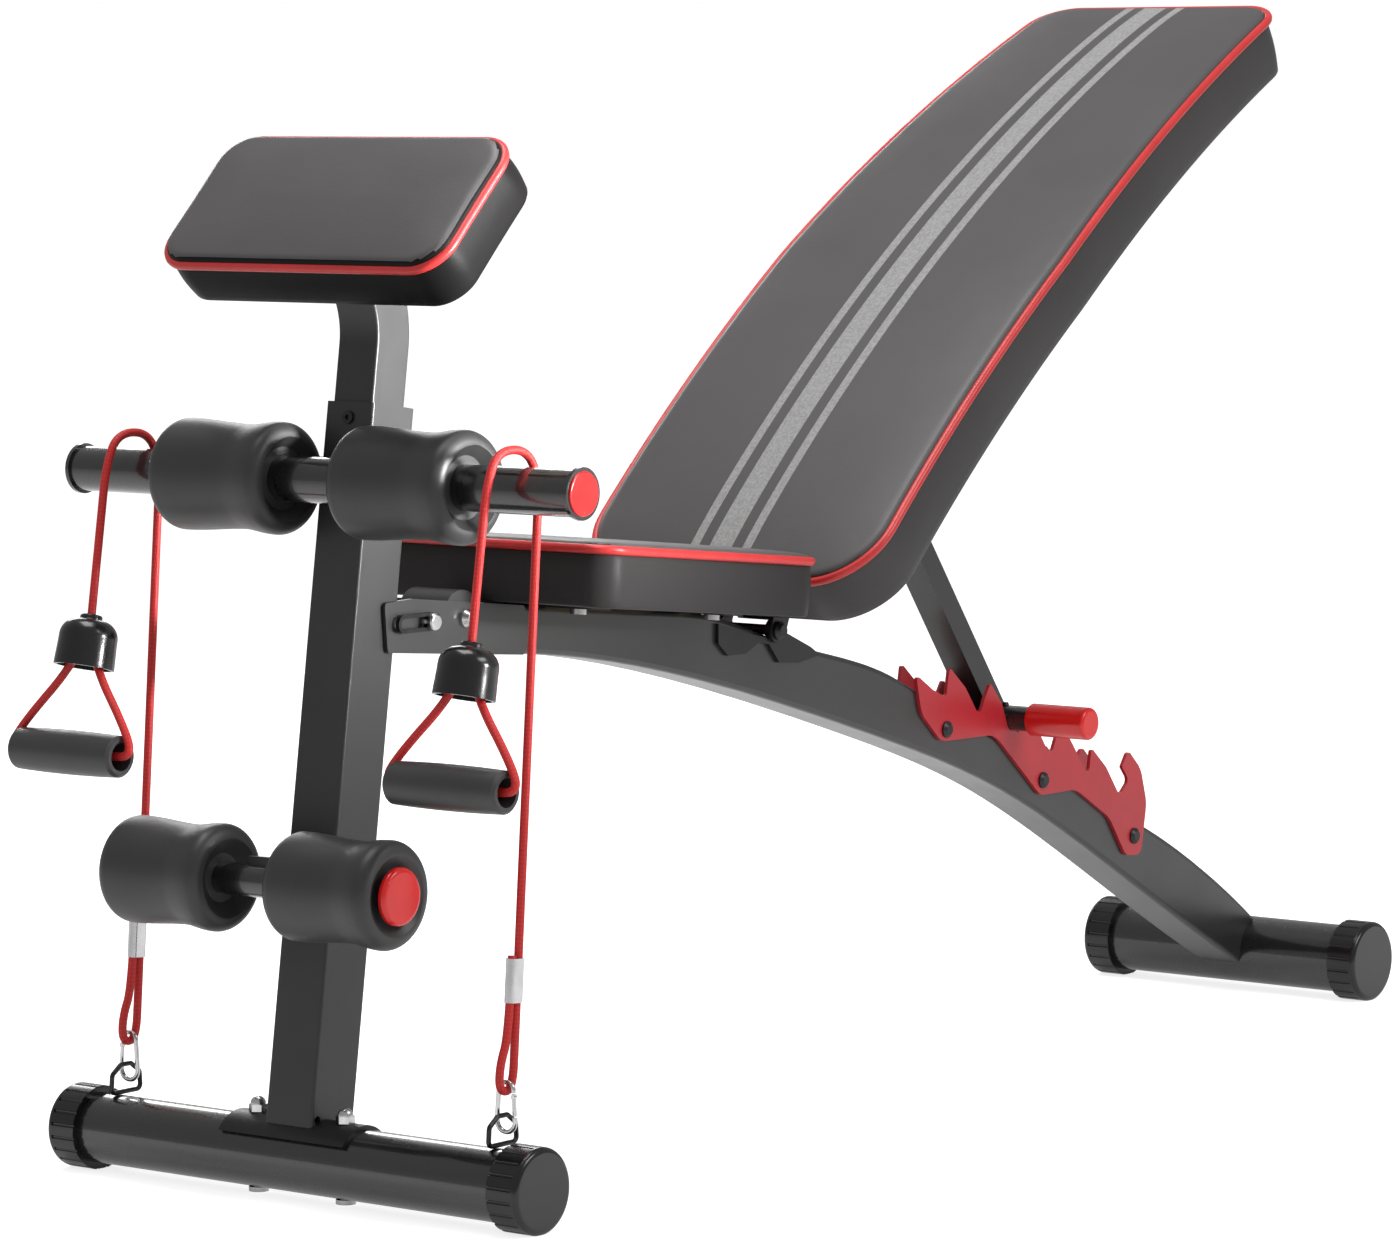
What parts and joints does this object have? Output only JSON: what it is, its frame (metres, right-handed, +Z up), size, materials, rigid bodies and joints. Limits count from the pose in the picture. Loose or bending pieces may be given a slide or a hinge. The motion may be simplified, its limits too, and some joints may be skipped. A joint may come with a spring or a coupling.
{
  "type": "decline sit up bench",
  "caption": "Folding decline sit-up bench with curved back pad on a toothed rack, foam ankle rollers, angled arm pad on a post and corded pull handles.",
  "frame": {"origin": "on the floor under the middle of the bench's overall length and width", "axes": "+X from the front post to the rear foot, +Y to the left as seen from in front of the bench, +Z up"},
  "size_m": [1.3228, 0.4614, 0.8359],
  "materials": {
    "beam_black": "satin powder coat",
    "post_black": "satin powder coat",
    "rack_red": "satin powder coat",
    "bracket_black": "satin powder coat",
    "vinyl": "charcoal upholstery vinyl over foam, red piping",
    "board_wood": "plywood",
    "foam": "satin closed-cell foam",
    "cap_black": "satin moulded plastic",
    "cap_red": "gloss moulded plastic",
    "rope_red": "braided cord",
    "zinc": "zinc plated",
    "ring_black": "black plated",
    "grip_black": "satin"
  },
  "bodies": {
    "frame": {"main_beam": "beam_black", "beam_front_plug": "cap_black", "fold_cheek_plates": "beam_black", "fold_hinge_bolt": "zinc", "rear_foot_tube": "beam_black", "rear_foot_caps": "cap_black", "rack_plate_left": "rack_red", "rack_plate_right": "rack_red", "rack_bolts": "bracket_black", "seat_pad": "vinyl", "seat_board": "board_wood", "seat_brackets": "bracket_black", "seat_screws": "zinc", "back_hinge_yoke": "bracket_black", "back_hinge_bolt": "bracket_black"},
    "lock_pin": {"lock_pin": "zinc", "lock_pin_ring": "ring_black"},
    "backrest": {"backrest_pad": "vinyl", "backrest_board": "board_wood", "backrest_frame": "bracket_black", "backrest_screws": "zinc", "strut_pivot_bolt": "zinc"},
    "strut": {"support_strut": "beam_black", "crossbar": "beam_black", "crossbar_caps": "cap_red", "crossbar_screw": "bracket_black"},
    "post": {"front_post": "post_black", "post_hinge_lug": "post_black", "post_foot_plate": "bracket_black", "front_foot_tube": "beam_black", "front_foot_caps": "cap_black", "foot_bolts": "zinc", "rope_eyelets": "ring_black", "upper_bar": "beam_black", "upper_bar_plugs": "cap_red", "lower_bar": "beam_black", "lower_bar_bracket": "post_black", "lower_bar_caps": "cap_red", "post_clamp_screw": "bracket_black", "band_rope_left": "rope_red", "band_rope_right": "rope_red", "rope_crimps": "zinc", "carabiners": "zinc"},
    "preacher": {"preacher_pole": "post_black", "preacher_plate": "bracket_black", "preacher_board": "board_wood", "preacher_pad": "vinyl", "preacher_screws": "zinc"},
    "roller_upper_left": {"foam_roller_upper_left": "foam"},
    "roller_upper_right": {"foam_roller_upper_right": "foam"},
    "roller_lower_left": {"foam_roller_lower_left": "foam"},
    "roller_lower_right": {"foam_roller_lower_right": "foam"},
    "gate_left": {"carabiner_gate_left": "zinc"},
    "gate_right": {"carabiner_gate_right": "zinc"},
    "handle_left": {"handle_bell_left": "cap_black", "handle_cord_left": "rope_red"},
    "handle_right": {"handle_bell_right": "cap_black", "handle_cord_right": "rope_red"},
    "grip_left": {"hand_grip_left": "grip_black"},
    "grip_right": {"hand_grip_right": "grip_black"}
  },
  "joints": [
    {"name": "post_fold", "type": "hinge", "parent": "frame", "child": "post", "pos_m": [-0.4352, 0, 0.394], "axis": [0, -1, 0], "range_deg": [0, 70]},
    {"name": "lock_pin_pull", "type": "slide", "parent": "frame", "child": "lock_pin", "axis": [0, -1, 0], "range_m": [0, 0.047]},
    {"name": "preacher_height", "type": "slide", "parent": "post", "child": "preacher", "axis": [0.1392, 0, 0.9903], "range_m": [-0.03, 0.08]},
    {"name": "backrest_recline", "type": "hinge", "parent": "frame", "child": "backrest", "pos_m": [-0.0702, 0, 0.359], "axis": [0, -1, 0], "range_deg": [0, 27]},
    {"name": "strut_swing", "type": "hinge", "parent": "backrest", "child": "strut", "pos_m": [0.0868, 0, 0.482], "axis": [0, 1, 0], "range_deg": [0, 21.6]},
    {"name": "roller_upper_left_spin", "type": "hinge", "parent": "post", "child": "roller_upper_left", "pos_m": [-0.5565, 0, 0.4964], "axis": [0, 1, 0], "continuous": true},
    {"name": "roller_upper_right_spin", "type": "hinge", "parent": "post", "child": "roller_upper_right", "pos_m": [-0.5565, 0, 0.4964], "axis": [0, 1, 0], "continuous": true},
    {"name": "roller_lower_left_spin", "type": "hinge", "parent": "post", "child": "roller_lower_left", "pos_m": [-0.6239, 0, 0.2253], "axis": [0, 1, 0], "continuous": true},
    {"name": "roller_lower_right_spin", "type": "hinge", "parent": "post", "child": "roller_lower_right", "pos_m": [-0.6239, 0, 0.2253], "axis": [0, 1, 0], "continuous": true},
    {"name": "gate_left_open", "type": "hinge", "parent": "post", "child": "gate_left", "pos_m": [-0.5722, 0.1796, 0.08834], "axis": [-1, 0, 0], "range_deg": [0, 12], "stiffness_Nm_per_rad": 0.02},
    {"name": "handle_left_swing", "type": "hinge", "parent": "post", "child": "handle_left", "pos_m": [-0.6071, 0.173, 0.3946], "axis": [0, -1, 0], "range_deg": [-20, 20]},
    {"name": "grip_left_spin", "type": "hinge", "parent": "handle_left", "child": "grip_left", "pos_m": [-0.6292, 0.173, 0.303], "axis": [0, 1, 0], "continuous": true},
    {"name": "gate_right_open", "type": "hinge", "parent": "post", "child": "gate_right", "pos_m": [-0.5722, -0.1796, 0.08834], "axis": [1, 0, 0], "range_deg": [0, 12], "stiffness_Nm_per_rad": 0.02},
    {"name": "handle_right_swing", "type": "hinge", "parent": "post", "child": "handle_right", "pos_m": [-0.6071, -0.173, 0.3946], "axis": [0, -1, 0], "range_deg": [-20, 20]},
    {"name": "grip_right_spin", "type": "hinge", "parent": "handle_right", "child": "grip_right", "pos_m": [-0.6292, -0.173, 0.303], "axis": [0, 1, 0], "continuous": true}
  ],
  "couplings": [
    {"joint": "strut_swing", "follows": "backrest_recline", "ratio": 0.8}
  ]
}
